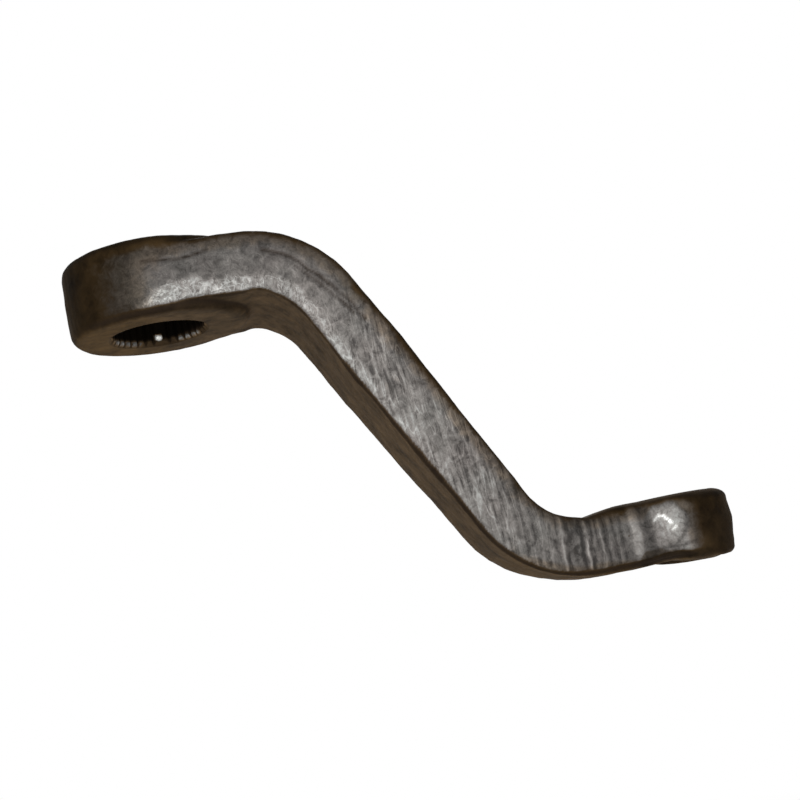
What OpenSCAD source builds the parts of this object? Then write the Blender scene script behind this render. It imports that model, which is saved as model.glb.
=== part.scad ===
// Dropped pitman arm, a one-piece steel forging for a steering linkage.
// The big eye has a serrated bore for the steering box's sector shaft.
// The small eye has a tapered hole for the drag link's ball stud.
// Lengths are in millimetres and angles in degrees.
// The origin is on the serrated bore's axis, level with the middle of the strap there.
// X runs along the arm towards the small eye, and Z runs up along the sector shaft.

/* [Layout] */
// Distance between the axes of the two eyes
centre_distance = 152.4; // [150:0.2:165]
// Height of the strap's middle at the big eye over its middle at the small eye
drop = 106.6; // [98:0.2:108]
// Slope of the shank below level
shank_slope = 61; // [58:0.5:66]
// Level stretch from the big eye's axis to the upper bend
upper_level = 28.8; // [24:0.2:32]
// Radius of the upper bend, at the strap's middle
upper_bend_r = 29.4; // [26:0.2:32]
// Radius of the lower bend, at the strap's middle
lower_bend_r = 33.6; // [28:0.2:35]

/* [Strap] */
// Thickness of the strap
strap_t = 19.8; // [17:0.2:22]
// Width of the strap where the lower bend ends
strap_w = 30.5; // [26:0.5:34]
// Radius of the hollow on each side, where the strap widens to the small eye
neck_r = 14; // [10:0.5:22]
// How much the inside of the lower bend is squeezed thinner
bend_thinning = 1.5; // [0:0.1:2.5]
// Radius of the strap's upper edges
upper_edge_r = 2.2; // [1:0.1:4]
// Radius of the strap's lower edges
lower_edge_r = 1.5; // [0.6:0.1:3]

/* [Big eye] */
// Outside diameter of the big eye
big_eye_d = 59.2; // [58:0.2:64]
// How far the big eye's outside stands off the bore's axis, towards the shank
big_eye_shift = 1.2; // [0:0.1:2]
// Height of the big eye's top face over the strap's middle
big_eye_top = 12.3; // [11.6:0.1:16]
// Depth of the big eye's bottom face under the strap's middle
big_eye_bottom = 12.5; // [11.6:0.1:15]
// How far the round boss on both faces of the big eye lies inside the eye's outside
boss_margin = 0.4; // [0.3:0.1:2]
// Edge radius of the big eye and its boss
big_edge_r = 2.6; // [1:0.1:4]

/* [Small eye] */
// Outside diameter of the small eye
small_eye_d = 42.2; // [39:0.2:46]
// How far the small eye's outside stands off the hole's axis, away from the shank
small_eye_shift = 0.5; // [0:0.1:1.5]
// Height of the small eye's top face over the strap's middle
small_eye_top = 10.7; // [10.5:0.1:15]
// Depth of the small eye's bottom face under the strap's middle
small_eye_bottom = 11; // [10.5:0.1:14]
// Outside diameter of the machined seats on both faces of the small eye
small_seat_d = 33.5; // [28:0.5:35]
// Edge radius of the small eye
small_edge_r = 3.8; // [1:0.1:5]
// Draft of the small eye's wall, up and down from its middle
small_eye_draft = 5.5; // [1:0.5:11]

/* [Forging] */
// Draft of the strap and of the big eye
draft = 1; // [0.5:0.25:3]
// Height of the machined seats over the forged faces beside them
seat_h = 0.5; // [0.3:0.1:1.2]

/* [Serrated bore] */
// Places for serrations round the bore
serration_places = 36; // [28:4:40]
// Places left blank, so that the arm goes on in only a few positions
blank_places = 4; // [1, 2, 4]
// Diameter over the crests of the serrations
crest_d = 30; // [29:0.1:30.6]
// Diameter over the bottoms of the grooves
root_d = 31.8; // [31.4:0.05:32.4]
// Width of a groove where it opens at the crests
groove_w = 1.56; // [1:0.02:1.8]
// Width of a groove at its bottom
groove_floor = 0.4; // [0.2:0.02:0.6]
// How far the lead-in's rim lies outside the bottoms of the grooves, on the radius
lead_in_margin = 0.4; // [0.1:0.05:0.8]

/* [Stud hole] */
// Diameter of the tapered hole at the small eye's bottom face
stud_hole_d = 17.8; // [16:0.1:19]
// Length over which the tapered hole's diameter grows by one millimetre
taper_length = 8; // [6:0.5:12]
// Width of the broken edge at both ends of the tapered hole
stud_chamfer = 0.8; // [0.3:0.1:1.5]

/* [Hidden] */
$fn = 96;
// How far a cutter reaches past a face, and a seat into the forging
past = 1;
seat_root = 3;

// The strap's middle line, by the length of arc from the big eye's axis
bends_rise = (upper_bend_r + lower_bend_r) * (1 - cos(shank_slope));
bends_run = (upper_bend_r + lower_bend_r) * sin(shank_slope);
shank_l = (drop - bends_rise) / sin(shank_slope);
upper_bend_l = upper_bend_r * shank_slope * PI / 180;
lower_bend_l = lower_bend_r * shank_slope * PI / 180;
shank_start = upper_level + upper_bend_l;
shank_end = shank_start + shank_l;
lower_start = shank_end + lower_bend_l;
lower_level = centre_distance - upper_level - bends_run - shank_l * cos(shank_slope);
small_axis = lower_start + lower_level;

// Slope of the middle line at the arc length s
function slope_at(s) =
    s <= upper_level ? 0
    : s <= shank_start ? (s - upper_level) / upper_bend_r * 180 / PI
    : s <= shank_end ? shank_slope
    : s <= lower_start ? shank_slope - (s - shank_end) / lower_bend_r * 180 / PI
    : 0;

// Place of the middle line at the arc length s, as [x, z]
function middle_at(s) =
    let (a = slope_at(s))
    s <= upper_level ? [s, 0]
    : s <= shank_start ? [upper_level, 0] + upper_bend_r * [sin(a), cos(a) - 1]
    : s <= shank_end ? middle_at(shank_start) + (s - shank_start) * [cos(a), -sin(a)]
    : s <= lower_start
        ? middle_at(shank_end)
            + lower_bend_r * [sin(shank_slope) - sin(a), cos(shank_slope) - cos(a)]
    : [centre_distance - small_axis + s, -drop];

// Ease from 0 at the value a to 1 at the value b
function ease(x, a, b) =
    let (t = max(0, min(1, (x - a) / (b - a)))) t * t * (3 - 2 * t);

// How much of the big eye and of the small eye is in the section at s
big_fade_l = 12;
small_fade_l = 13;
small_fade_margin = 1;
function near_big(s) = 1 - ease(s, big_eye_shift, big_eye_shift + big_fade_l);
function near_small(s) =
    let (full = small_axis - small_eye_d / 2 - small_fade_margin)
    ease(s, full - small_fade_l, full);
thinning_at = (shank_end + lower_start) / 2;
thinning_l = lower_bend_l / 2;
function thinning(s) = bend_thinning * exp(-pow((s - thinning_at) / thinning_l, 2));

// Forged half thicknesses over and under the middle line, edge radii and draft at s
function top_at(s) =
    strap_t / 2 - thinning(s)
    + (big_eye_top - seat_h - strap_t / 2) * near_big(s)
    + (small_eye_top - seat_h - strap_t / 2) * near_small(s);
function bottom_at(s) =
    strap_t / 2
    + (big_eye_bottom - seat_h - strap_t / 2) * near_big(s)
    + (small_eye_bottom - seat_h - strap_t / 2) * near_small(s);
function mix_at(s, strap_value, big_value, small_value) =
    strap_value
    + (big_value - strap_value) * near_big(s)
    + (small_value - strap_value) * near_small(s);

// Plan outline of the arm laid flat: half of it, as [s, half width, outward normal]
big_r = big_eye_d / 2;
small_r = small_eye_d / 2;
small_centre = small_axis + small_eye_shift;
strap_side = [lower_start - big_eye_shift, strap_w / 2];
side_turn = atan2(strap_side[1], strap_side[0]) + acos(big_r / norm(strap_side));
side_normal = [cos(side_turn), sin(side_turn)];
// The neck's circle touches the strap's side and the small eye
neck_out = big_r + neck_r - side_normal[0] * (small_centre - big_eye_shift);
neck_back = neck_out * side_normal[0]
    - side_normal[1] * sqrt(pow(small_r + neck_r, 2) - neck_out * neck_out);
neck_centre = [small_centre + neck_back, (neck_out - side_normal[0] * neck_back) / side_normal[1]];
neck_meets_eye = atan2(neck_centre[1], neck_centre[0] - small_centre);
side_from = [big_eye_shift, 0] + big_r * side_normal;
side_to = neck_centre - neck_r * side_normal;

eye_steps = 18;
side_steps = 40;
neck_steps = 6;
half_outline = concat(
    [for (i = [0:eye_steps])
        let (a = 180 - (180 - side_turn) * i / eye_steps, n = [cos(a), sin(a)])
        [[big_eye_shift, 0] + big_r * n, n]],
    [for (i = [1:side_steps - 1])
        [side_from + (side_to - side_from) * i / side_steps, side_normal]],
    [for (i = [0:neck_steps])
        let (
            a = side_turn + 180 + (neck_meets_eye - side_turn) * i / neck_steps,
            n = -[cos(a), sin(a)]
        )
        [neck_centre - neck_r * n, n]],
    [for (i = [1:eye_steps])
        let (a = neck_meets_eye * (1 - i / eye_steps), n = [cos(a), sin(a)])
        [[small_centre, 0] + small_r * n, n]]
);
last = len(half_outline) - 1;
ring_size = 2 * last;

// Levels down the wall: the upper edge's arc, the forging's middle, the lower edge's arc
edge_steps = 4;
level_count = 2 * edge_steps + 3;
function level_height(j, s) =
    let (
        upper = mix_at(s, upper_edge_r, big_edge_r, small_edge_r),
        lower = mix_at(s, lower_edge_r, big_edge_r, small_edge_r),
        k = level_count - 1 - j
    )
    j <= edge_steps ? top_at(s) - upper * (1 - cos(90 * j / edge_steps))
    : k <= edge_steps ? -bottom_at(s) + lower * (1 - cos(90 * k / edge_steps))
    : 0;
function level_inset(j, s) =
    let (
        upper = mix_at(s, upper_edge_r, big_edge_r, small_edge_r),
        lower = mix_at(s, lower_edge_r, big_edge_r, small_edge_r),
        k = level_count - 1 - j,
        wall_draft = mix_at(s, draft, draft, small_eye_draft)
    )
    (j <= edge_steps ? upper * (1 - sin(90 * j / edge_steps))
        : k <= edge_steps ? lower * (1 - sin(90 * k / edge_steps))
        : 0)
    + abs(level_height(j, s)) * tan(wall_draft);

// A point of the forging: the outline's point i at the level j, on the side y_sign
function skin_point(i, j, y_sign) =
    let (
        edge = half_outline[i][0],
        n = half_outline[i][1],
        h = level_height(j, edge[0]),
        inset = level_inset(j, edge[0]),
        s = edge[0] - inset * n[0],
        a = slope_at(s),
        m = middle_at(s)
    )
    [m[0] + h * sin(a), y_sign * max(0, edge[1] - inset * n[1]), m[1] + h * cos(a)];

skin_points = [
    for (j = [0:level_count - 1], k = [0:ring_size - 1])
        k <= last ? skin_point(k, j, 1) : skin_point(ring_size - k, j, -1)
];
function at(j, k) = j * ring_size + (k % ring_size);
wall_faces = [
    for (j = [0:level_count - 2], k = [0:ring_size - 1], half = [0, 1])
        half == 0
            ? [at(j, k), at(j + 1, k), at(j + 1, k + 1)]
            : [at(j, k), at(j + 1, k + 1), at(j, k + 1)]
];
// A cap is a row of flat strips across the arm, with a triangle at each tip
function cap_faces(j) = concat(
    [[at(j, 0), at(j, 1), at(j, ring_size - 1)]],
    [for (i = [1:last - 2])
        [at(j, i), at(j, i + 1), at(j, ring_size - i - 1), at(j, ring_size - i)]],
    [[at(j, last - 1), at(j, last), at(j, last + 1)]]
);
function flipped(faces) = [
    for (f = faces) [for (i = [len(f) - 1:-1:0]) f[i]]
];

// The forged strap with both eyes, bent along its middle line
module forging() {
    polyhedron(
        points = skin_points,
        faces = concat(cap_faces(0), wall_faces, flipped(cap_faces(level_count - 1))),
        convexity = 6
    );
}

// The round boss through the big eye, with rounded edges and a flat seat on each face
module big_boss() {
    boss_edge_steps = 8;
    r = big_r - boss_margin - big_edge_r;
    upper = [for (i = [0:boss_edge_steps])
        let (a = 90 * i / boss_edge_steps)
        [r + big_edge_r * cos(a), big_eye_top - big_edge_r * (1 - sin(a))]];
    lower = [for (i = [0:boss_edge_steps])
        let (a = 90 * i / boss_edge_steps)
        [r + big_edge_r * sin(a), -big_eye_bottom + big_edge_r * (1 - cos(a))]];
    translate([big_eye_shift, 0, 0])
        rotate_extrude()
            polygon(concat([[0, -big_eye_bottom]], lower, upper, [[0, big_eye_top]]));
}

// A machined seat on the small eye, with a hollow foot, its face at height 0
module seat(d) {
    foot_steps = 6;
    rotate_extrude()
        polygon(concat(
            [[0, 0], [d / 2, 0]],
            [for (i = [1:foot_steps])
                let (a = 90 * i / foot_steps)
                [d / 2 + seat_h * (1 - cos(a)), -seat_h * sin(a)]],
            [[d / 2 + seat_h, -seat_h - seat_root], [0, -seat_h - seat_root]]
        ));
}

// The space of one groove, along the whole bore
module groove() {
    depth = (root_d - crest_d) / 2;
    inner = crest_d / 2 - depth;
    spread = (groove_w - groove_floor) / 2;
    translate([0, 0, -big_eye_bottom - past])
        linear_extrude(big_eye_bottom + big_eye_top + 2 * past)
            polygon([
                [inner, -groove_w / 2 - spread],
                [root_d / 2, -groove_floor / 2],
                [root_d / 2, groove_floor / 2],
                [inner, groove_w / 2 + spread]
            ]);
}

// The cutter of the serrated bore, with a lead-in at both ends
module serrated_bore() {
    rim_r = root_d / 2 + lead_in_margin;
    lead_in = rim_r - crest_d / 2;
    translate([0, 0, -big_eye_bottom - past])
        cylinder(h = big_eye_bottom + big_eye_top + 2 * past, d = crest_d);
    for (i = [0:serration_places - 1])
        if (i % (serration_places / blank_places) != 0)
            rotate(i * 360 / serration_places) groove();
    translate([0, 0, big_eye_top - lead_in])
        cylinder(h = lead_in + past, r1 = crest_d / 2, r2 = rim_r + past);
    translate([0, 0, -big_eye_bottom - past])
        cylinder(h = lead_in + past, r1 = rim_r + past, r2 = crest_d / 2);
}

// The cutter of the tapered hole, wide at the bottom, with both edges broken
module stud_hole() {
    height = small_eye_top + small_eye_bottom;
    wide = stud_hole_d / 2;
    narrow = wide - height / taper_length / 2;
    reach = past / taper_length / 2;
    translate([0, 0, -small_eye_bottom - past])
        cylinder(h = height + 2 * past, r1 = wide + reach, r2 = narrow - reach);
    translate([0, 0, -small_eye_bottom - past])
        cylinder(
            h = past + stud_chamfer,
            r1 = wide + stud_chamfer + past,
            r2 = wide - stud_chamfer / taper_length / 2
        );
    translate([0, 0, small_eye_top - stud_chamfer])
        cylinder(
            h = past + stud_chamfer,
            r1 = narrow + stud_chamfer / taper_length / 2,
            r2 = narrow + stud_chamfer + past
        );
}

// The whole arm
module pitman_arm() {
    color([0.36, 0.34, 0.31])
        difference() {
            union() {
                forging();
                big_boss();
                translate([centre_distance, 0, -drop]) {
                    translate([0, 0, small_eye_top]) seat(small_seat_d);
                    translate([0, 0, -small_eye_bottom])
                        mirror([0, 0, 1]) seat(small_seat_d);
                }
            }
            serrated_bore();
            translate([centre_distance, 0, -drop]) stud_hole();
        }
}

pitman_arm();
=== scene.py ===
"""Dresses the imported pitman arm: forged shape, ground and scaled steel, light, floor and camera."""

import math
from types import SimpleNamespace

import bpy
import numpy as np
from mathutils import Matrix, Vector


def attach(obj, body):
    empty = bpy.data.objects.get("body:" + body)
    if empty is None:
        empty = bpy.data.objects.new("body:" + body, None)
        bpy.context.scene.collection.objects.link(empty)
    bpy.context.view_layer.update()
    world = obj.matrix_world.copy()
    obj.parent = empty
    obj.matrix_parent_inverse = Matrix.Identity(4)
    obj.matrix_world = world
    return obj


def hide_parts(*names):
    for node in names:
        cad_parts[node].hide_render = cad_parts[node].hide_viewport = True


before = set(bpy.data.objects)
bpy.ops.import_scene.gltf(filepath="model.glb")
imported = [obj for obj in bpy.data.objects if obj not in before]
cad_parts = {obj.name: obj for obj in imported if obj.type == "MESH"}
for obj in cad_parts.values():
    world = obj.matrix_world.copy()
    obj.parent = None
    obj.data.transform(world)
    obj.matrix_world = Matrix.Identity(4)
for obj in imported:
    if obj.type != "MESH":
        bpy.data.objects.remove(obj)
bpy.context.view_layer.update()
MM = 0.001

# Camera: its place, its angles in degrees, its lens and sensor in mm, and its clipping in metres
CAMERA_AT = Vector((10.571, -426.122, -115.593)) * MM
CAMERA_AZIMUTH, CAMERA_ELEVATION, CAMERA_ROLL = -8.392, -8.948, -11.504
CAMERA_LENS, CAMERA_SENSOR = 59.479, 36
CAMERA_NEAR, CAMERA_FAR = 0.01, 20


def make_camera():
    """Looks at the arm's near side from a little below, with the camera turned about its own view."""
    az, el, roll = (math.radians(v) for v in (CAMERA_AZIMUTH, CAMERA_ELEVATION, CAMERA_ROLL))
    back = Vector((math.sin(az) * math.cos(el), -math.cos(az) * math.cos(el), math.sin(el)))
    level = Vector((math.cos(az), math.sin(az), 0))
    over = back.cross(level)
    right = level * math.cos(roll) + over * math.sin(roll)
    up = over * math.cos(roll) - level * math.sin(roll)
    data = bpy.data.cameras.new("camera")
    data.lens = CAMERA_LENS
    data.sensor_width = CAMERA_SENSOR
    data.clip_start, data.clip_end = CAMERA_NEAR, CAMERA_FAR
    camera = new_object("camera", data)
    turn = Matrix((right, up, back)).transposed()
    camera.matrix_world = Matrix.Translation(CAMERA_AT) @ turn.to_4x4()
    bpy.context.scene.camera = camera


# Values at points, and what stretches the averaged noise to about -1 to 1 again
NOISE_STRETCH = 1.6


def smooth(x, a, b):
    """Ease from 0 at a to 1 at b."""
    t = np.clip((x - a) / (b - a), 0, 1)
    return t * t * (3 - 2 * t)


def band(x, a, b, soft):
    """1 between a and b, with soft ends."""
    return smooth(x, a - soft, a + soft) * (1 - smooth(x, b - soft, b + soft))


def hill(gap, width):
    """1 where the gap is 0, and almost 0 from two widths on."""
    return np.exp(-(gap / width) ** 2)


def along(x, table):
    """The value at x in a table of (x, value) pairs, on straight lines between them."""
    return np.interp(x, *zip(*table))


def value_noise(points, size, seed, octaves=3):
    """Smooth noise of about -1 to 1 with features of that size, the same on every run."""
    total = np.zeros(len(points))
    weight, gain = 0, 1
    for octave in range(octaves):
        total += gain * lattice_noise(points / size * 2 ** octave, seed + 17 * octave)
        weight += gain
        gain *= 0.5
    return total / weight * NOISE_STRETCH


def lattice_noise(p, seed):
    """Noise that runs smoothly between the values at the corners of whole-numbered cells."""
    cell = np.floor(p).astype(np.int64)
    f = p - cell
    f = f * f * (3 - 2 * f)
    total = np.zeros(len(p))
    for corner in range(8):
        d = np.array([corner & 1, corner >> 1 & 1, corner >> 2 & 1])
        total += hash_values(cell + d, seed) * np.where(d, f, 1 - f).prod(1)
    return total


def hash_values(cell, seed):
    """A value of -1 to 1 for each lattice cell, mixed from its numbers with large primes."""
    h = (cell[:, 0] * 73856093) ^ (cell[:, 1] * 19349663) ^ (cell[:, 2] * 83492791) ^ (seed * 2654435761)
    h = (h ^ (h >> 13)) & 0xFFFFFFFF
    h = (h * 1274126177) & 0xFFFFFFFF
    h = (h ^ (h >> 16)) & 0xFFFF
    return h / 32767.5 - 1


# The arm's middle line: lengths and heights in mm, from the bore's axis to the small eye's
CENTRES = 152.4
DROP = 106.6
SLOPE = math.radians(61)
UPPER_LEVEL = 28.8
UPPER_R, LOWER_R = 29.4, 33.6
SHANK = (DROP - (UPPER_R + LOWER_R) * (1 - math.cos(SLOPE))) / math.sin(SLOPE)
SHANK_START = UPPER_LEVEL + UPPER_R * SLOPE
SHANK_END = SHANK_START + SHANK
LOWER_START = SHANK_END + LOWER_R * SLOPE
LOWER_LEVEL = (CENTRES - UPPER_LEVEL - (UPPER_R + LOWER_R) * math.sin(SLOPE)
               - SHANK * math.cos(SLOPE))
SMALL_AXIS = LOWER_START + LOWER_LEVEL
# How far the line runs on past both axes, and how finely it is cut
LINE_BEFORE, LINE_PAST = 45, 40
STEP = 0.1
# The grinding marks' lean on the shank
GRIND_LEAN = math.radians(6)


def walk(slope):
    """X and Z along a line with the given slope at each step, from 0."""
    x = np.concatenate([[0], np.cumsum(np.cos(slope[:-1]) * STEP)])
    z = np.concatenate([[0], np.cumsum(-np.sin(slope[:-1]) * STEP)])
    return x, z


def middle_line():
    """Arc lengths, slopes and points of the middle line, from one end of the arm to the other."""
    s = np.arange(-LINE_BEFORE, SMALL_AXIS + LINE_PAST, STEP)
    bend = np.clip((s - UPPER_LEVEL) / UPPER_R, 0, SLOPE)
    slope = bend - np.clip((s - SHANK_END) / LOWER_R, 0, SLOPE)
    x, z = walk(slope)
    start = int(np.argmin(abs(s)))
    return s, slope, x - x[start], z - z[start]


LINE = middle_line()


def arm_coordinates(points):
    """Points in mm as (length along the arm, place across it, height over the middle line)."""
    s, slope, x, z = LINE
    out = np.empty_like(points)
    # in groups, so that the table of distances to every fourth point of the line stays small
    group, skip = 4000, 4
    for a in range(0, len(points), group):
        p = points[a:a + group]
        i = ((p[:, 0, None] - x[::skip]) ** 2 + (p[:, 2, None] - z[::skip]) ** 2).argmin(1) * skip
        dx, dz = p[:, 0] - x[i], p[:, 2] - z[i]
        c, q = np.cos(slope[i]), np.sin(slope[i])
        out[a:a + group] = np.stack([s[i] + dx * c - dz * q, p[:, 1], dx * q + dz * c], 1)
    return out


def grind_coordinates(arm):
    """Arm coordinates as (across the grinding marks, across the arm, along the marks), in mm.
    The marks run upright, and on the shank they lean by GRIND_LEAN towards its own slope."""
    s, slope, _, _ = LINE
    turned = slope + GRIND_LEAN * smooth(s, 60, 95) * (1 - smooth(s, 148, 166))
    at = [np.interp(arm[:, 0], s, v) for v in (*walk(turned), np.sin(turned), np.cos(turned))]
    return np.stack([at[0] + arm[:, 2] * at[2], arm[:, 1], at[1] + arm[:, 2] * at[3]], 1)


def line_gap(arm, points):
    """Distance to a line through the given (length, height) points on a side face."""
    best = np.full(len(arm), np.inf)
    for (s0, n0), (s1, n1) in zip(points[:-1], points[1:]):
        ds, dn = s1 - s0, n1 - n0
        t = np.clip(((arm[:, 0] - s0) * ds + (arm[:, 2] - n0) * dn) / (ds * ds + dn * dn), 0, 1)
        best = np.minimum(best, np.hypot(arm[:, 0] - s0 - t * ds, arm[:, 2] - n0 - t * dn))
    return best


# Mesh work
def new_object(name, data):
    """An object in the scene for a mesh, a light or a camera."""
    obj = bpy.data.objects.new(name, data)
    bpy.context.scene.collection.objects.link(obj)
    return obj


def apply_modifiers(obj):
    """Puts the result of an object's modifiers in place of its mesh."""
    graph = bpy.context.evaluated_depsgraph_get()
    mesh = bpy.data.meshes.new_from_object(obj.evaluated_get(graph))
    obj.modifiers.clear()
    old = obj.data
    obj.data = mesh
    bpy.data.meshes.remove(old)


def read_points(mesh):
    """A mesh's points in metres, one row each."""
    co = np.empty(len(mesh.vertices) * 3, np.float32)
    mesh.vertices.foreach_get("co", co)
    return co.reshape(-1, 3).astype(float)


def write_points(mesh, co):
    """Moves a mesh's points to the given places in metres."""
    mesh.vertices.foreach_set("co", co.astype(np.float32).ravel())
    mesh.update()


def read_normals(mesh):
    """The normals at a mesh's points, one row each."""
    n = np.empty(len(mesh.vertices) * 3, np.float32)
    mesh.vertex_normals.foreach_get("vector", n)
    return n.reshape(-1, 3).astype(float)


def add_float(mesh, name, values):
    """Stores one value of 0 to 1 at each point, for the material."""
    layer = mesh.attributes.new(name, "FLOAT", "POINT")
    layer.data.foreach_set("value", np.clip(values, 0, 1).astype(np.float32))


def add_vector(mesh, name, values):
    """Stores one vector at each point, for the material."""
    layer = mesh.attributes.new(name, "FLOAT_VECTOR", "POINT")
    layer.data.foreach_set("vector", values.astype(np.float32).ravel())


def joined_mesh(name, meshes):
    """One mesh with the points and faces of several."""
    points, faces, start = [], [], 0
    for mesh in meshes:
        points.append(read_points(mesh))
        faces += [[v + start for v in p.vertices] for p in mesh.polygons]
        start += len(mesh.vertices)
    whole = bpy.data.meshes.new(name)
    whole.from_pydata(np.concatenate(points), [], faces)
    return whole


def ring_solid(name, rings):
    """A closed solid over a stack of rings, from the lowest up, all with as many points, in mm."""
    count = len(rings[0])
    verts = [(x * MM, y * MM, z * MM) for ring in rings for x, y, z in ring]
    faces = [(j * count + k, j * count + (k + 1) % count,
              (j + 1) * count + (k + 1) % count, (j + 1) * count + k)
             for j in range(len(rings) - 1) for k in range(count)]
    faces += [tuple(range(count))[::-1], tuple(range(len(verts) - count, len(verts)))]
    mesh = bpy.data.meshes.new(name)
    mesh.from_pydata(verts, [], faces)
    mesh.update()
    return mesh


def turned_solid(name, centre_x, profile, sides=144):
    """A solid of revolution about a vertical axis, from (height, radius) pairs in mm."""
    angles = [2 * math.pi * k / sides for k in range(sides)]
    return ring_solid(name, [[(centre_x + r * math.cos(a), r * math.sin(a), z) for a in angles]
                             for z, r in profile])


# The forging: both eyes' faces, in mm, and the radii within which their seats stay even
BIG_TOP, BIG_BOTTOM = 12.3, -12.5
SMALL_TOP, SMALL_BOTTOM = 10.7 - DROP, -11.0 - DROP
BIG_SEAT_R, SMALL_SEAT_R = 24, 15.5
# The bore: places for serrations, how many are blank, radii, and a groove's width and floor
PLACES, BLANKS = 36, 4
CREST_R, ROOT_R, RIM_R = 15.0, 15.9, 16.3
GROOVE_W, GROOVE_FLOOR = 1.56, 0.4
# Points on a blank place's land to either side of its middle, and the angle between them
LAND_POINTS, LAND_STEP = 3, 0.022
# The stud hole: radius at the bottom face, how it narrows with height, and its chamfers
STUD_R, STUD_TAPER, STUD_CHAMFER = 8.9, 1 / 16, 0.8
# Radii of the plugs that fill both holes, and how far a cutter reaches past a face
BIG_PLUG_R, SMALL_PLUG_R = RIM_R + 0.5, 10.2
PAST = 1
# Heights above the lower face and below the upper one at which the bore's wall has points
LEVELS_BELOW, LEVELS_ABOVE = (1.35, 1.7, 2.1, 2.6, 3.1, 4), (6, 4, 3, 2)
# The ding in the bore's far wall: its X and Z, half its size along them, and its tilt
DING, DING_HALF, DING_TILT = (-0.7, -9.9), (1.5, 1.2), 0.26
# The even mesh's grid, and the angle from which an edge is shown sharp
VOXEL = 0.645 * MM
SHARP = math.radians(40)

# Forging laps: side, (length, height) points, width, depth, how broken the line is
LAPS = [
    (-1, [(-1, 4.2), (4.8, 3.6), (9.4, 3.2), (14, 3.6), (19.4, 4.6)], 0.45, 0.35, 0.2),
    (-1, [(35.6, 3.1), (44, 3.1), (50, 1.9), (57.8, 2.3), (65, 4.1), (72.5, 4.2)], 0.6, 0.35, 0.35),
    (-1, [(46, 0.9), (52, 0.2), (58, 0.5), (64, 2.0), (69, 2.4)], 0.5, 0.28, 0.35),
    (1, [(4, 4), (15, 4.6), (27, 3.6)], 0.55, 0.3, 0.4),
    (1, [(58, -1.5), (70, -0.6), (80, -1.6)], 0.5, 0.25, 0.4),
]
# Upright grinding marks in the lower bend: places along X, and how bright (or dark) each one is, as
# painted highlight on a ridge (or painted shade in a groove); the same numbers set their depth
GRIND_MARKS = [
    (104.0, 0.0), (105.2, -0.3), (106.4, 0.2), (108.3, -0.25), (109.6, 0.15), (111.2, -0.2),
    (112.2, 0.1), (112.9, 1.0), (113.5, 0.0), (114.3, -0.55), (115.6, 0.0), (117.3, -0.3),
    (118.4, -0.1), (119.4, -0.5), (120.3, 0.0), (120.9, 1.1), (121.4, 0.0), (122.2, -0.55),
    (123.3, 0.35), (124.3, -0.25), (125.2, 0.1), (125.7, 0.8), (126.3, 0.0), (127.1, -0.4),
    (128.6, 0.2), (130.3, -0.25), (131.6, 0.15), (133.2, -0.2), (134.5, 0.1), (136.0, 0.0),
]
MARK_DEPTH = 0.2
# Where the forging is fuller (or thinner): length along the arm, by how much
FULLER_ABOVE = [
    (7, 0), (12, -0.4), (17, -0.3), (24, 0), (70, 0), (82, 0.3), (98, 0), (115, -0.35), (132, -0.4),
    (146, 0), (170, 0), (173.5, -0.1), (177.5, -0.65), (183, -0.1), (187, 0.4), (191, 0.5), (197, 0),
]
FULLER_BELOW = [
    (18, 0), (24, 0.5), (28, 0.3), (33, -0.4), (38, -0.4), (44, 0), (72, 0), (78, 0.3), (85.5, 0.8),
    (92, 0.35), (98, 0.4), (108, 0.5), (123, 0.4), (130, 0), (142, 0), (152, 0.35), (161, 0.35),
    (170, 0), (184.4, 0), (189.5, -0.1), (194, -0.4), (200, -0.8), (204.6, -0.9), (208, -0.1),
    (212, 0.4), (216, 0.7), (220, 0.8), (224, 0.5),
]


def eye_radii(co):
    """Each point's distance from the big eye's axis, and from the small eye's."""
    return np.hypot(co[:, 0], co[:, 1]), np.hypot(co[:, 0] - CENTRES, co[:, 1])


class Skin:
    """A mesh's points in mm, with what the shaping and the colouring both ask about them."""

    def __init__(self, mesh):
        self.co = read_points(mesh) / MM
        self.normal = read_normals(mesh)
        self.arm = arm_coordinates(self.co)
        self.s, self.y, self.n = self.arm.T
        self.r_big, self.r_small = eye_radii(self.co)
        slope = np.interp(self.s, LINE[0], LINE[1])
        # how far a face looks up, square to the middle line, and how far it looks to a side
        self.up = self.normal[:, 0] * np.sin(slope) + self.normal[:, 2] * np.cos(slope)
        self.across = np.abs(self.normal[:, 1])
        self.wall = smooth(self.across, 0.45, 0.8)


def forged_blank():
    """The CAD node's shape with its holes filled, as an even mesh that can be sculpted."""
    plugs = [
        turned_solid("plug", 0, [(BIG_BOTTOM, BIG_PLUG_R), (BIG_TOP, BIG_PLUG_R)]),
        turned_solid("plug", CENTRES, [(SMALL_BOTTOM, SMALL_PLUG_R), (SMALL_TOP, SMALL_PLUG_R)]),
    ]
    whole = joined_mesh("arm_forging", [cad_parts["pitman_arm"].data, *plugs])
    obj = new_object("arm_forging", whole)
    remesh = obj.modifiers.new("remesh", "REMESH")
    remesh.mode = "VOXEL"
    remesh.voxel_size = VOXEL
    apply_modifiers(obj)
    return obj


def relax(mesh, weight, rounds=40, share=0.6):
    """Moves points towards the middle of their neighbours, as far as each point's weight says."""
    edges = np.empty(len(mesh.edges) * 2, np.int32)
    mesh.edges.foreach_get("vertices", edges)
    a, b = edges.reshape(-1, 2).T
    near = np.flatnonzero((weight[a] > 0) | (weight[b] > 0))
    a, b = a[near], b[near]
    co = read_points(mesh)
    count = np.bincount(a, minlength=len(co)) + np.bincount(b, minlength=len(co))
    for _ in range(rounds):
        total = np.stack([np.bincount(a, co[b, i], len(co)) + np.bincount(b, co[a, i], len(co))
                          for i in range(3)], 1)
        middle = total / np.maximum(count, 1)[:, None]
        co += (middle - co) * (share * weight)[:, None]
    write_points(mesh, co)


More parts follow.
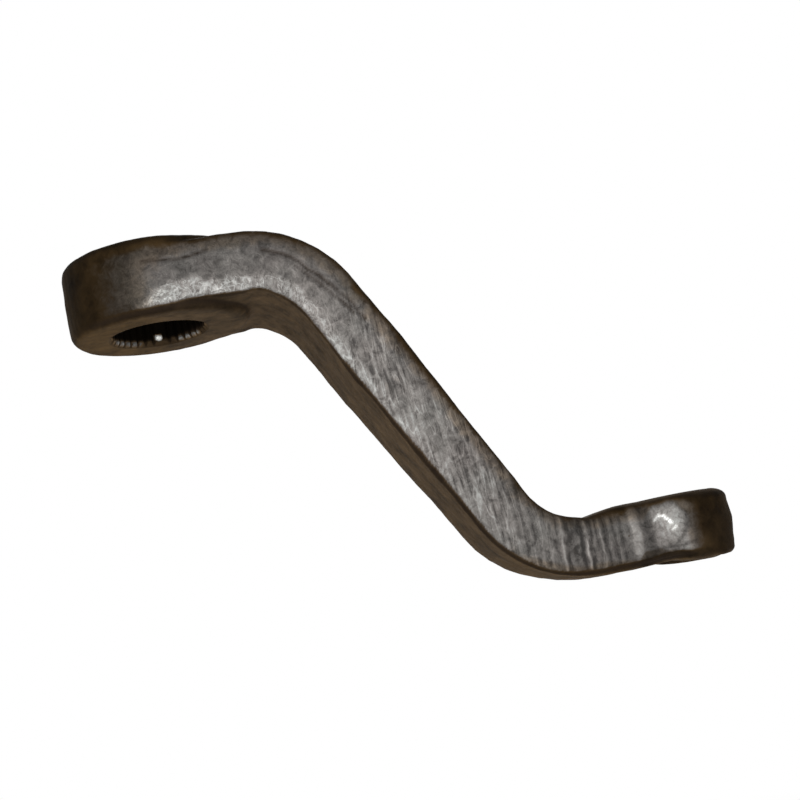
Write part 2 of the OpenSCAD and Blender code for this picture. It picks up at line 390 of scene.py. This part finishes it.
def soften(obj):
    """Rounds the boss's foot under the big eye and the small eye's seats, as forging leaves them."""
    co = read_points(obj.data) / MM
    r_big, r_small = eye_radii(co)
    foot = smooth(r_big, 24, 26) * (1 - smooth(r_big, 34, 38)) * smooth(co[:, 0], 10, 20)
    foot *= 1 - smooth(co[:, 2], -8, -6)
    seat = band(r_small, 13.5, 20, 1.2)
    relax(obj.data, np.maximum(0.12 * foot, seat))


def lap_lines(skin):
    """How deep in a forging lap each point lies, from 0 to 1, with the laps' depths in mm."""
    s, y, n = skin.arm.T
    wobble = np.stack([s, y, n + 0.25 * value_noise(skin.co, 4, 41, 2)], 1)
    gaps = value_noise(skin.co, 5, 43, 1)
    inside, depth = np.zeros(len(s)), np.zeros(len(s))
    for side, points, width, lap_depth, broken in LAPS:
        here = skin.wall * (np.sign(y) == side) * (1 - broken * smooth(gaps, 0.0, 0.5))
        here = here * hill(line_gap(wobble, points), width)
        inside, depth = np.maximum(inside, here), np.maximum(depth, here * lap_depth)
    return inside, depth


def unevenness(skin):
    """The forging's coarse and fine unevenness, in mm. The machined seats have none."""
    flat = np.abs(skin.normal[:, 2]) > 0.9
    big_seat = flat & (skin.r_big < BIG_SEAT_R) & (np.abs(skin.co[:, 2]) > 11.5)
    small_seat = flat & (skin.r_small < SMALL_SEAT_R) & (skin.s > 185)
    uneven = (0.16 * value_noise(skin.co, 22, 3, 2) + 0.10 * value_noise(skin.co, 7, 11, 2)
              + 0.05 * value_noise(skin.co, 2.4, 23, 2))
    return np.where(big_seat | small_seat, 0, uneven)


def fullness(skin):
    """How much fuller the upper and lower faces are in places, in mm."""
    return smooth(skin.up, 0.3, 0.8) * along(skin.s, FULLER_ABOVE) \
        + smooth(-skin.up, 0.3, 0.8) * along(skin.s, FULLER_BELOW)


def fine_grinding(skin):
    """The fine lines that grinding left on the sides, in mm."""
    stretched = grind_coordinates(skin.arm) * (1, 0.3, 0.12)
    return skin.wall * smooth(skin.s, 40, 75) * 0.05 * value_noise(stretched, 1.6, 31, 2)


def upright_marks(skin):
    """The upright grinding marks in the lower bend, in mm. The far side has them half as deep."""
    mark = skin.wall * band(skin.n, -7.5, 8.2, 1.5) * np.where(skin.y < 0, 1.0, 0.5)
    return MARK_DEPTH * mark * along(skin.co[:, 0], GRIND_MARKS)


def shape_ends(co, skin):
    """Shapes the scallop in the small eye's near lower edge, and the arm's two ends."""
    s, y, n = skin.arm.T
    scallop = np.exp(-((s - 199.5) / 6.5) ** 2 - ((n + 10.2) / 2.6) ** 2) * smooth(-y, 9, 14)
    co[:, 1] += 1.5 * scallop
    co[:, 2] += 0.3 * scallop * (n < -9.5)
    # the small eye's end is fuller above its middle than below it, and its lower corner is sharper
    end = smooth(s, 210, 222)
    co[:, 0] += end * (1.0 * smooth(n, 5.5, 9.5) - 0.6 * smooth(-n, 1, 9))
    corner = smooth(s, 214, 221) * smooth(-n, 5, 8.5) * smooth(skin.r_small, 16.5, 19)
    co[:, 0] += 0.35 * corner
    co[:, 2] -= 1.2 * corner
    # the big eye's end is a little shorter
    co[:, 0] += 0.3 * (1 - smooth(s, -28, -20))


def sculpt(obj):
    """Moves the blank's surface: forging unevenness, laps, grinding marks and the ends' own forms."""
    skin = Skin(obj.data)
    move = unevenness(skin)
    move += fullness(skin)
    move += fine_grinding(skin)
    move -= lap_lines(skin)[1]
    move += upright_marks(skin)
    co = skin.co + skin.normal * move[:, None]
    shape_ends(co, skin)
    write_points(obj.data, co * MM)


def bore_outline():
    """The bore's section: a groove at each place, and a plain land at the blank ones."""
    outline = []
    for i in range(PLACES):
        middle = 2 * math.pi * i / PLACES
        if i % (PLACES // BLANKS):
            corners = [(-GROOVE_W / 2, CREST_R), (-GROOVE_FLOOR / 2, ROOT_R),
                       (GROOVE_FLOOR / 2, ROOT_R), (GROOVE_W / 2, CREST_R)]
            turns = [(middle + math.asin(half / r), r) for half, r in corners]
        else:
            turns = [(middle + k * LAND_STEP, CREST_R) for k in range(-LAND_POINTS, LAND_POINTS + 1)]
        outline += [(r * math.cos(a), r * math.sin(a)) for a, r in turns]
    return outline


def hole_cutters():
    """Solids of the serrated bore, its two lead-ins and the tapered stud hole."""
    outline = bore_outline()
    levels = [BIG_BOTTOM - PAST, *(BIG_BOTTOM + v for v in LEVELS_BELOW), 0,
              *(BIG_TOP - v for v in LEVELS_ABOVE), BIG_TOP + PAST]
    lead = RIM_R - CREST_R
    upper_r = STUD_R - (SMALL_TOP - SMALL_BOTTOM) * STUD_TAPER
    narrowing = STUD_CHAMFER * STUD_TAPER
    flare = STUD_CHAMFER + PAST
    return [
        ring_solid("bore", [[(x, y, z) for x, y in outline] for z in levels]),
        turned_solid("lead_in_below", 0, [
            (BIG_BOTTOM - PAST, RIM_R + PAST), (BIG_BOTTOM + lead, CREST_R)]),
        turned_solid("lead_in_above", 0, [
            (BIG_TOP - lead, CREST_R), (BIG_TOP + PAST, RIM_R + PAST)]),
        turned_solid("stud_hole", CENTRES, [
            (SMALL_BOTTOM - PAST, STUD_R + flare), (SMALL_BOTTOM + STUD_CHAMFER, STUD_R - narrowing),
            (SMALL_TOP - STUD_CHAMFER, upper_r + narrowing), (SMALL_TOP + PAST, upper_r + flare)]),
    ]


def cut_holes(obj):
    """Cuts the serrated bore and the tapered stud hole."""
    for mesh in hole_cutters():
        tool = new_object(mesh.name, mesh)
        cut = obj.modifiers.new("cut", "BOOLEAN")
        cut.operation = "DIFFERENCE"
        cut.solver = "EXACT"
        cut.object = tool
        apply_modifiers(obj)
        bpy.data.objects.remove(tool)


def dent_bore(obj):
    """Tilts a small ding in the bore's far wall to the light."""
    co = read_points(obj.data) / MM
    away, height = co[:, 0] - DING[0], co[:, 2] - DING[1]
    on_crests = (eye_radii(co)[0] < CREST_R + 0.1) * (co[:, 1] > 0)
    ding = on_crests * (abs(away) < DING_HALF[0]) * (abs(height) < DING_HALF[1])
    co[:, 1] -= ding * DING_TILT * height
    write_points(obj.data, co * MM)


# What the material asks about the points
STEEL_MASKS = ("ground", "shade", "vein", "sunk", "polish", "lined", "warm")
# Along the arm: the height of the ground side's lower edge
LOWER_CUT = [
    (-20, -10.5), (-0.7, -10.7), (5, -10.4), (10.6, -9.6), (77, -9.5), (115, -9.0), (131, -8.7),
    (157, -9.0), (164, -9.4), (170, -9.0), (176.6, -8.2), (188, -8.1),
]
# Along the arm: how light the ground steel is at mid height. Its fall at both round ends is painted
# shade, and at the small eye the bright strip and patch are painted light and the dim band between them
# painted shade
METAL_TONE = [
    (-20, 0.014), (-12, 0.025), (-6, 0.048), (0, 0.072), (6, 0.080), (20, 0.085), (36, 0.088),
    (48, 0.098), (60, 0.098), (70, 0.112), (90, 0.115), (120, 0.127), (145, 0.118), (160, 0.113),
    (168, 0.098), (178, 0.090), (191.3, 0.090), (191.9, 0.15), (193.9, 0.15), (194.6, 0.072),
    (197.2, 0.070), (198.6, 0.125), (202, 0.15), (206.5, 0.15), (210, 0.065), (215, 0.032),
]
# Along the arm: the height below which the side is brighter, and by how much
BRIGHT_TOP = [
    (-12, -11), (-4, -9), (2, -6), (7, -3.0), (12, -2.6), (16, -3.4), (22, -4.6), (40, -4.2),
    (52, -4.4), (66, -5.0), (80, -5.8), (200, -7.5),
]
BRIGHT_AMOUNT = [(-10, 1.65), (15, 1.65), (36, 0.95), (50, 0.8), (80, 0.45), (130, 0.35), (160, 0.1)]
# Along the arm: how light the scale is on the faces that look up or down, and how light on the sides
SCALE_TONE = [(-26, 0.077), (0, 0.074), (110, 0.087), (200, 0.071)]
SIDE_SCALE_TONE = 0.027
# Along the arm: the width of the painted shade along the crease under the ground side, and the strength
# of the streaks
CREASE_WIDTH = [(-20, 0.95), (30, 0.95), (50, 0.7), (100, 1.0), (190, 0.8)]
STREAKS = [(50, 0.12), (85, 1.0), (150, 1.0), (162, 0.5), (188, 0.42), (191.5, 0.15), (196, 0.25)]
# The scallop's upper rim, the line of painted shade along it, and two painted glints over it, as
# (length, height) points
SCALLOP_RIM = [(192, -8.5), (194.4, -5.8), (198, -5.4), (203, -6.6), (207.5, -7.4), (209, -9.5)]
SCALLOP_SHADE_LINE = [(196, -6.6), (200, -5.6), (205, -6.0), (210, -5.4)]
GLINT = [(198.8, 3.4), (200.2, 4.6), (201.6, 4.2), (203.4, 1.6)]
SECOND_GLINT = [(203.2, -0.8), (204.6, 0.2)]
# The radius within which a point is on the stud hole's wall, and how light that wall is
STUD_WALL_R, STUD_WALL_TONE = 9.75, 0.02


def ground_zone(skin):
    """Where the sides are ground, less their upper and lower edges, and where by length alone."""
    s, n = skin.s, skin.n
    upper_cut = 8.4 + 0.7 * value_noise(skin.arm, 8, 5, 2) + 0.6 * smooth(s, 190, 196) \
        + 0.9 * band(s, 191, 207, 1)
    lower_cut = along(s, LOWER_CUT)
    reach = smooth(s, -24, 0) * (1 - smooth(s, 206, 217))
    ground = skin.wall * reach * (1 - smooth(n, upper_cut - 2.6, upper_cut + 1.8)) \
        * smooth(n, lower_cut - 0.4, lower_cut + 0.5)
    return ground, reach


def bright_zone(skin):
    """How much brighter the lower part of the side is, most of all at the big eye."""
    top = along(skin.s, BRIGHT_TOP) + 1.3 * value_noise(skin.arm, 6, 61, 3) \
        + 0.6 * value_noise(skin.arm, 2.2, 67, 2)
    low = (1 - smooth(skin.n, top - 1.6, top + 1.0)) * smooth(skin.s, -9, 2)
    return low * along(skin.s, BRIGHT_AMOUNT)


def metal_tone(skin, bright):
    """How light the ground steel is. It darkens towards its upper edge, but little at the small eye."""
    darker = 0.5 * smooth(skin.n, 0.5, 8.5) * (1 - 0.8 * smooth(skin.s, 194, 199))
    return along(skin.s, METAL_TONE) * (1 + bright) * (1 - darker)


def scale_tone(skin, reach):
    """How light the forging scale is, with painted shade at the ends, on the faces that look up and
    under the big eye's near side.
    """
    s = skin.s
    tone = along(s, SCALE_TONE)
    tone = tone + (SIDE_SCALE_TONE - tone) * smooth(skin.across, 0.15, 0.6)
    # lighter below the side's upper edge, and darker on the faces that look up, as painted shade
    tone *= 1 + 0.9 * skin.wall * band(skin.n, 3, 8, 1.5) * reach
    tone *= 1 - 0.5 * smooth(skin.up, 0.1, 0.5)
    # under the big eye it is lighter next to the bore, and darker next to the near side as painted shade
    # under the rounded edge
    under = smooth(-skin.up, 0.6, 0.9) * (1 - smooth(s, 24, 34))
    tone *= 1 + under * (0.06 * (1 - smooth(skin.r_big, 18, 24))
                         - 0.28 * smooth(skin.r_big, 24.5, 27.5) * (skin.y < 0))
    # painted shade: both round ends are darker where they turn away from the lamps, apart from their
    # level faces
    painted_end_shade = np.maximum(0.68 * (1 - smooth(s, -27, -12)), 0.45 * smooth(s, 206, 216))
    tone *= 1 - painted_end_shade * (1 - smooth(np.abs(skin.normal[:, 2]), 0.6, 0.9))
    return np.where(skin.r_small < STUD_WALL_R, STUD_WALL_TONE, tone)


def bore_tone(skin):
    """How light the bore's wall is, as painted light and shade: a painted shadow deep inside, painted
    lit bands by both rims, and painted light on the crests' ends beside the middle.
    """
    x, y, z = skin.co.T
    # painted shadow: deep in the bore the wall is near black, lit only near its two rims
    painted_bore_shadow = smooth(z, BIG_BOTTOM + 1.2, BIG_BOTTOM + 2.3) * (1 - smooth(z, BIG_TOP - 3.2, BIG_TOP - 1.6))
    lead_top = BIG_BOTTOM + 0.9
    # the painted lit bands: the lower lead-in is light, and the crests lighter than the grooves
    teeth = np.where(skin.r_big < CREST_R + 0.25, 0.12, 0.045)
    tone = 0.003 + np.where(z < lead_top, 0.06, teeth) * (1 - painted_bore_shadow)
    # painted light on the crests' ends beside the middle
    painted_lit_crests = (skin.r_big < CREST_R + 0.3) * (y > 0) * (1 - painted_bore_shadow) * (z > lead_top) \
        * band(np.abs(x + 0.8), 5.5, 13.5, 0.8)
    return tone + 0.3 * painted_lit_crests, painted_lit_crests


def small_eye_zones(skin):
    """Where the scallop's face is, and how far out from the middle of the patch painted light: 1 is its
    edge.
    """
    s, n = skin.s, skin.n
    rim = along(s, SCALLOP_RIM) + 0.5 * value_noise(skin.arm, 3, 73, 2)
    scallop = smooth(rim - n, -0.3, 0.6) * band(s, 193, 208.5, 0.8)
    patch = np.hypot((s - 202.3 + 0.5 * value_noise(skin.arm, 3, 71, 2)) / 5.0, (n - 2.4) / 6.4)
    return scallop, patch


def shade_small_eye(shade, skin, scallop, patch, near):
    """Puts the small eye's painted shade and painted light into the shade. It is lighter low down at its
    end.
    """
    s = skin.s
    shade *= 1 + 0.35 * band(s, 205, 216, 2) * (1 - smooth(skin.n, -6, -2)) * near
    # painted shade: the scallop's face and the line along it are dark
    line = hill(line_gap(skin.arm, SCALLOP_SHADE_LINE), 0.6)
    shade *= 1 - np.maximum(0.58 * scallop * (skin.across > 0.3) * (skin.y < 0), 0.5 * line * near)
    # painted light: the patch where the eye's side faces the lamps is bright, with painted shade as a
    # dark rim on its far end
    shade *= 1 + (0.3 * (1 - smooth(patch, 0.85, 1.1))
                  - 0.35 * band(patch, 1.05, 1.3, 0.1) * smooth(s, 200, 206)) * near


def dark_laps_and_crease_shade(skin):
    """Where the surface is dark: the forging laps, which are sunk, and painted shade along the crease
    under the ground side.
    """
    s = skin.s
    width = along(s, CREASE_WIDTH)
    crease_shade = hill(skin.n - along(s, LOWER_CUT) + width, width) * smooth(skin.across, 0.03, 0.2)
    crease_shade = 0.95 * crease_shade * smooth(s, -25, -14) * (1 - smooth(s, 205, 214))
    return np.maximum(lap_lines(skin)[0], crease_shade)


def glints(skin, inside, near):
    """Where the steel is glossier, with a painted highlight as a glint: twice on the small eye, and at
    the ding in the bore.
    """
    on_eye = np.maximum(hill(line_gap(skin.arm, GLINT), 0.64),
                        0.8 * hill(line_gap(skin.arm, SECOND_GLINT), 0.7)) * near
    gap = np.hypot(skin.co[:, 0] - DING[0], skin.co[:, 2] - DING[1])
    return np.where(inside, hill(gap, 1.0) * (gap < 1.3) * (skin.y > 0), on_eye)


def brownness(skin, scallop, patch, near):
    """How brown the steel is: up the side, at both eyes, low in the lower bend and in the scallop."""
    s, n = skin.s, skin.n
    return 0.9 * smooth(n, 2.0, 7.5) + 1 - smooth(s, -9, 10) \
        + 1.2 * (1 - smooth(n, -8.5, -5.5)) * band(s, 158, 192, 6) + 0.6 * smooth(s, 205, 210) \
        + 0.9 * scallop - 0.8 * (1 - smooth(patch, 0.95, 1.25)) * near


def masks(obj):
    """Stores at each point its places along the arm and the marks, and the values of STEEL_MASKS."""
    mesh = obj.data
    skin = Skin(mesh)
    s = skin.s
    near = skin.wall * (skin.y < 0)
    inside = skin.r_big < RIM_R + 0.15
    ground, reach = ground_zone(skin)
    bright = bright_zone(skin)
    scallop, patch = small_eye_zones(skin)
    scale = scale_tone(skin, reach)
    shade = scale + (metal_tone(skin, bright) - scale) * ground
    shade_small_eye(shade, skin, scallop, patch, near)
    bore, painted_lit_crests = bore_tone(skin)
    # the bore's wall takes its painted shadow and painted light
    shade = np.where(inside, bore, shade)
    polish = glints(skin, inside, near)
    painted_glint_tone = np.where(inside, 0.9, 0.42) * polish
    # painted highlight: the glints lift the shade towards white
    shade = np.where(polish > 0.05, np.maximum(shade, painted_glint_tone), shade)
    # in the bore, the painted lit crests and the glint take the ground steel's colour
    painted_lit_crests_and_glint = np.maximum(painted_lit_crests, smooth(polish, 0, 0.2))
    ground = np.where(inside, painted_lit_crests_and_glint, ground)
    warm = np.where(inside, 0.3 * (1 - painted_lit_crests_and_glint), brownness(skin, scallop, patch, near))
    vein = np.clip(0.25 + 0.75 * bright * smooth(s, -10, 0) * (1 - smooth(s, 70, 110)), 0, 1)
    vein *= 1 - 0.8 * smooth(s, 160, 168) * (1 - smooth(s, 190, 196))
    add_vector(mesh, "arm", skin.arm * MM)
    add_vector(mesh, "grind", grind_coordinates(skin.arm) * MM)
    values = (ground, shade, vein, dark_laps_and_crease_shade(skin), polish, along(s, STREAKS), warm)
    for name, value in zip(STEEL_MASKS, values):
        add_float(mesh, name, value)


# Material
WHITE = (1, 1, 1, 1)
# The dark of the forging laps and of the painted shade along the crease
LAPS_AND_CREASE_SHADE_DARK = (0.018, 0.012, 0.008, 1)
# Each channel's share of the brightness: on dim, bright and stained metal, on plain and stained scale
METAL_CHANNELS = [("Red", 1.0, 1.0, 1.0), ("Green", 0.93, 0.99, 0.82), ("Blue", 0.87, 0.95, 0.65)]
SCALE_CHANNELS = [("Red", 1.0, 1.0), ("Green", 0.65, 0.60), ("Blue", 0.34, 0.24)]
# The grey that stands for plain metal in the ramp of grinding marks
PLAIN_GREY = 0.4


class Nodes:
    """Short calls for building a node tree. A value is a number, a colour or another node's output."""

    def __init__(self, tree):
        tree.nodes.clear()
        self.tree = tree

    def add(self, kind, inputs=(), **settings):
        """A new node, with its inputs given as (name or number, value)."""
        node = self.tree.nodes.new(kind)
        for key, value in settings.items():
            setattr(node, key, value)
        for key, value in inputs:
            self.put(node.inputs[key], value)
        return node

    def put(self, socket, value):
        """Links an output to a socket, or sets the socket's own value."""
        if isinstance(value, bpy.types.NodeSocket):
            self.tree.links.new(value, socket)
        else:
            socket.default_value = value

    def math(self, operation, *values):
        return self.add("ShaderNodeMath", enumerate(values), operation=operation).outputs[0]

    def attribute(self, name, out="Fac"):
        return self.add("ShaderNodeAttribute", attribute_name=name).outputs[out]

    def place(self):
        """The point's place in the object, in metres."""
        return self.add("ShaderNodeTexCoord").outputs["Object"]

    def scaled(self, vector, scale):
        inputs = ((0, vector), (1, scale))
        return self.add("ShaderNodeVectorMath", inputs, operation="MULTIPLY").outputs[0]

    def noise(self, vector, scale, detail=3, rough=0.55, distortion=0.0):
        inputs = (("Vector", vector), ("Scale", scale), ("Detail", detail), ("Roughness", rough),
                  ("Distortion", distortion))
        return self.add("ShaderNodeTexNoise", inputs).outputs["Fac"]

    def ramp(self, value, low, high, to_low=0.0, to_high=1.0, smooth_step=True):
        inputs = (("Value", value), ("From Min", low), ("From Max", high),
                  ("To Min", to_low), ("To Max", to_high))
        kind = "SMOOTHSTEP" if smooth_step else "LINEAR"
        return self.add("ShaderNodeMapRange", inputs, interpolation_type=kind).outputs["Result"]

    def mix(self, factor, a, b):
        """A mix of colours, whose sockets are the Mix node's 6 and 7."""
        return self.add("ShaderNodeMix", ((0, factor), (6, a), (7, b)), data_type="RGBA").outputs[2]

    def mix_value(self, factor, a, b):
        """A mix of numbers, whose sockets are the Mix node's 2 and 3."""
        return self.add("ShaderNodeMix", ((0, factor), (2, a), (3, b)), data_type="FLOAT").outputs[0]

    def mix_shader(self, factor, a, b):
        return self.add("ShaderNodeMixShader", ((0, factor), (1, a), (2, b))).outputs[0]

    def swing(self, base, *parts):
        """base, plus (value - 0.5) * amount for each part."""
        for value, amount in parts:
            base = self.math("MULTIPLY_ADD", self.math("SUBTRACT", value, 0.5), amount, base)
        return base

    def thread(self, value, width):
        """1 along thin lines through a noise, falling to 0 within the width."""
        return self.ramp(self.math("ABSOLUTE", self.math("SUBTRACT", value, 0.5)), 0.0, width, 1.0, 0.0)


def mark_profile(k, place):
    """The painted highlight on the upright grinding marks' ridges, and painted shade in their grooves,
    at a place along X: 0 is plain metal.
    """
    first, last = GRIND_MARKS[0][0], GRIND_MARKS[-1][0]
    ramp = k.add("ShaderNodeValToRGB", ((0, k.ramp(place, first * MM, last * MM, smooth_step=False)),))
    stops = ramp.color_ramp.elements
    stops[0].color = stops[1].color = (PLAIN_GREY, PLAIN_GREY, PLAIN_GREY, 1)
    for at, light in GRIND_MARKS[1:-1]:
        grey = PLAIN_GREY * (1 + light)
        stops.new((at - first) / (last - first)).color = (grey, grey, grey, 1)
    return k.math("MULTIPLY_ADD", ramp.outputs[0], 1 / PLAIN_GREY, -1.0)


def steel_patterns(k):
    """The masks and noises that the steel's colour, gloss and relief are made from."""
    p = SimpleNamespace(**{name: k.attribute(name) for name in STEEL_MASKS})
    arm, grind = k.attribute("arm", "Vector"), k.attribute("grind", "Vector")
    p.mottle = k.noise(arm, 330, 3, 0.6, 0.8)
    p.patch = k.noise(arm, 120, 3)
    p.tint = k.noise(arm, 70, 2, 0.5)
    p.fine = k.noise(arm, 1800, 2, 0.6)
    crackle = k.thread(k.noise(arm, 290, 2, 0.6, 0.5), 0.055)
    crackle_fine = k.thread(k.noise(arm, 420, 1, 0.5, 1.3), 0.05)
    p.veins = k.math("MAXIMUM", crackle, k.math("MULTIPLY", crackle_fine, 0.7))
    p.streak = k.noise(k.scaled(grind, (1.0, 0.6, 0.1)), 700, 2, 0.5, 0.3)
    streak_wide = k.noise(k.scaled(grind, (1.0, 0.6, 0.17)), 280, 2, 0.5, 0.6)
    worm = k.noise(k.scaled(grind, (1.0, 0.6, 0.22)), 330, 1, 0.5, 0.6)
    p.lines = k.math("MULTIPLY_ADD", k.thread(worm, 0.04), 0.6,
                     k.swing(0.0, (p.streak, 3.2), (streak_wide, 1.3)))
    across_x = k.add("ShaderNodeSeparateXYZ", ((0, k.place()),)).outputs["X"]
    p.marks = mark_profile(k, k.swing(across_x, (k.noise(arm, 150, 2, 0.5), 0.004)))
    return p


def steel_wear(k, p):
    """1 where the scale is ground off, with a mottled edge."""
    edge = k.swing(p.ground, (p.mottle, 0.9), (p.patch, 0.7))
    return k.math("MULTIPLY", k.ramp(edge, 0.15, 0.85), k.ramp(p.ground, 0.02, 0.2))


def steel_grain(k, p):
    """The ground steel's streaks, mottling, veins and marks: about 1, and more where it is bright."""
    grouped = k.math("MULTIPLY", p.lined, k.ramp(p.patch, 0.38, 0.6, 0.5, 1.15))
    grain = k.math("MULTIPLY_ADD", p.lines, grouped, k.swing(0.95, (p.mottle, 2.1), (p.fine, 0.6)))
    veined = k.math("MULTIPLY", k.math("SUBTRACT", p.veins, 0.2), p.vein)
    grain = k.math("MULTIPLY_ADD", veined, 0.62, grain)
    marked = k.math("MULTIPLY", p.marks, k.ramp(p.lined, 0.2, 0.4, 0.0, 1.2))
    return k.math("MAXIMUM", k.math("ADD", grain, marked), 0.4)


def metal_colour(k, p):
    """Ground steel: neutral where it is bright, warmer where it is dim, brown where it is stained."""
    light = k.math("MINIMUM", k.math("MULTIPLY", p.shade, steel_grain(k, p)), 0.8)
    brown = k.ramp(k.swing(p.warm, (p.patch, 1.4), (p.mottle, 0.8)), 0.2, 1.0)
    clean = k.ramp(light, 0.12, 0.30)
    inputs = []
    for name, dim, bright, stained in METAL_CHANNELS:
        share = k.mix_value(brown, k.mix_value(clean, dim, bright), stained)
        if name == "Red":
            share = k.swing(share, (p.tint, 0.12))
        inputs.append((name, k.math("MULTIPLY", light, share)))
    return k.add("ShaderNodeCombineColor", inputs).outputs[0]


def scale_colour(k, p):
    """Forging scale: mottled brown, and a redder brown where it is stained."""
    tone = k.math("MULTIPLY", k.swing(1.0, (p.mottle, 1.2), (p.patch, 2.1)), p.shade)
    inputs = [(name, k.math("MULTIPLY", tone, k.mix_value(p.warm, plain, stained)))
              for name, plain, stained in SCALE_CHANNELS]
    return k.add("ShaderNodeCombineColor", inputs).outputs[0]


def steel_relief(k, p, wear):
    """The normal over the mottling, streaks, veins and fine grain, flatter on the scale."""
    height = k.math("MULTIPLY", p.mottle, 0.9)
    height = k.math("MULTIPLY_ADD", k.math("MULTIPLY", p.lines, p.lined), 0.35, height)
    height = k.math("MULTIPLY_ADD", k.math("MULTIPLY", p.veins, p.vein), 0.25, height)
    height = k.math("MULTIPLY_ADD", p.fine, 0.2, height)
    height = k.math("MULTIPLY", height, k.ramp(wear, 0.0, 0.6, 0.3, 1.0))
    inputs = (("Strength", 0.7), ("Distance", 0.0003), ("Height", height))
    return k.add("ShaderNodeBump", inputs).outputs[0]


def build_material():
    """Forged steel: dark brown scale, ground bright on the sides."""
    mat = bpy.data.materials.new("forged_steel")
    mat.use_nodes = True
    k = Nodes(mat.node_tree)
    p = steel_patterns(k)
    wear = steel_wear(k, p)
    colour = k.mix(wear, scale_colour(k, p), metal_colour(k, p))
    # the forging laps' dark, and painted shade along the crease
    colour = k.mix(k.math("MULTIPLY", p.sunk, 0.8), colour, LAPS_AND_CREASE_SHADE_DARK)
    rough = k.mix_value(wear, 0.75, k.ramp(p.streak, 0.3, 0.7, 0.42, 0.55))
    shader = k.add("ShaderNodeBsdfPrincipled", (
        ("Base Color", colour),
        ("Roughness", k.mix_value(p.polish, rough, 0.35)),
        ("Metallic", k.mix_value(p.polish, k.math("MULTIPLY", wear, 0.35), 0.6)),
        ("Specular IOR Level", 0.03),
        ("Normal", steel_relief(k, p, wear))))
    k.add("ShaderNodeOutputMaterial", (("Surface", shader.outputs[0]),))
    return mat


# Background, floor and lights, in metres and watts
AMBIENT = 0.3
FLOOR_AT = (0.07, 0, -0.25)
FLOOR_R, FLOOR_SIDES = 3.0, 96
FLOOR_GREY = (0.85, 0.85, 0.85, 1)
# The floor's share of plain white, from near its middle to further out, as (distance, share)
FLOOR_NEAR, FLOOR_FAR = (0.20, 0.7), (0.36, 1.0)
# Lights: name, place, target, size and power
LIGHTS = [
    ("key", (-0.02, -0.80, 0.06), (0.07, 0, -0.05), 0.4, 4.3),
    ("fill", (0.01, -0.62, -0.17), (0.03, 0, -0.03), 0.12, 0.5),
    ("back", (0.12, 0.75, 0.45), (0.07, 0, -0.05), 0.6, 4.0),
]


def seen_directly(k):
    """1 for camera, glossy and transmission rays, which see the plain white background."""
    path = k.add("ShaderNodeLightPath")
    seen = k.math("MAXIMUM", path.outputs["Is Camera Ray"], path.outputs["Is Glossy Ray"])
    return k.math("MAXIMUM", seen, path.outputs["Is Transmission Ray"])


def make_world():
    """A white background that lights the arm only softly."""
    world = bpy.data.worlds.new("studio")
    bpy.context.scene.world = world
    world.use_nodes = True
    k = Nodes(world.node_tree)
    ambient = k.add("ShaderNodeBackground", (("Color", WHITE), ("Strength", AMBIENT)))
    white = k.add("ShaderNodeBackground", (("Color", WHITE), ("Strength", 1.0)))
    mixed = k.mix_shader(seen_directly(k), ambient.outputs[0], white.outputs[0])
    k.add("ShaderNodeOutputWorld", (("Surface", mixed),))


def make_floor():
    """A pale round floor that keeps the arm's shadow and turns plain white further out."""
    angles = [2 * math.pi * i / FLOOR_SIDES for i in range(FLOOR_SIDES)]
    mesh = bpy.data.meshes.new("floor")
    mesh.from_pydata([(FLOOR_R * math.cos(a), FLOOR_R * math.sin(a), 0) for a in angles], [],
                     [tuple(range(FLOOR_SIDES))])
    floor = new_object("floor", mesh)
    floor.location = FLOOR_AT
    mat = bpy.data.materials.new("floor")
    mat.use_nodes = True
    k = Nodes(mat.node_tree)
    reach = k.add("ShaderNodeVectorMath", ((0, k.place()),), operation="LENGTH")
    far = k.ramp(reach.outputs["Value"], FLOOR_NEAR[0], FLOOR_FAR[0], FLOOR_NEAR[1], FLOOR_FAR[1])
    pale = k.add("ShaderNodeBsdfDiffuse", (("Color", FLOOR_GREY),))
    white = k.add("ShaderNodeEmission", (("Strength", 1.0),))
    mixed = k.mix_shader(k.math("MULTIPLY", seen_directly(k), far), pale.outputs[0], white.outputs[0])
    k.add("ShaderNodeOutputMaterial", (("Surface", mixed),))
    mesh.materials.append(mat)


def area_light(name, at, target, size, watts):
    """A round soft lamp that looks at the target."""
    data = bpy.data.lights.new(name, "AREA")
    data.shape = "DISK"
    data.size = size
    data.energy = watts
    lamp = new_object(name, data)
    lamp.location = at
    lamp.rotation_euler = (Vector(target) - Vector(at)).to_track_quat("-Z", "Y").to_euler()


make_camera()
arm_object = forged_blank()
soften(arm_object)
sculpt(arm_object)
cut_holes(arm_object)
dent_bore(arm_object)
masks(arm_object)
for polygon in arm_object.data.polygons:
    polygon.use_smooth = True
arm_object.data.set_sharp_from_angle(angle=SHARP)
arm_object.data.materials.clear()
arm_object.data.materials.append(build_material())
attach(arm_object, "root")
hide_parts("pitman_arm")
make_world()
make_floor()
for light in LIGHTS:
    area_light(*light)
bpy.context.scene.view_settings.view_transform = "Standard"

print("triangles", sum(len(p.vertices) - 2 for p in arm_object.data.polygons))
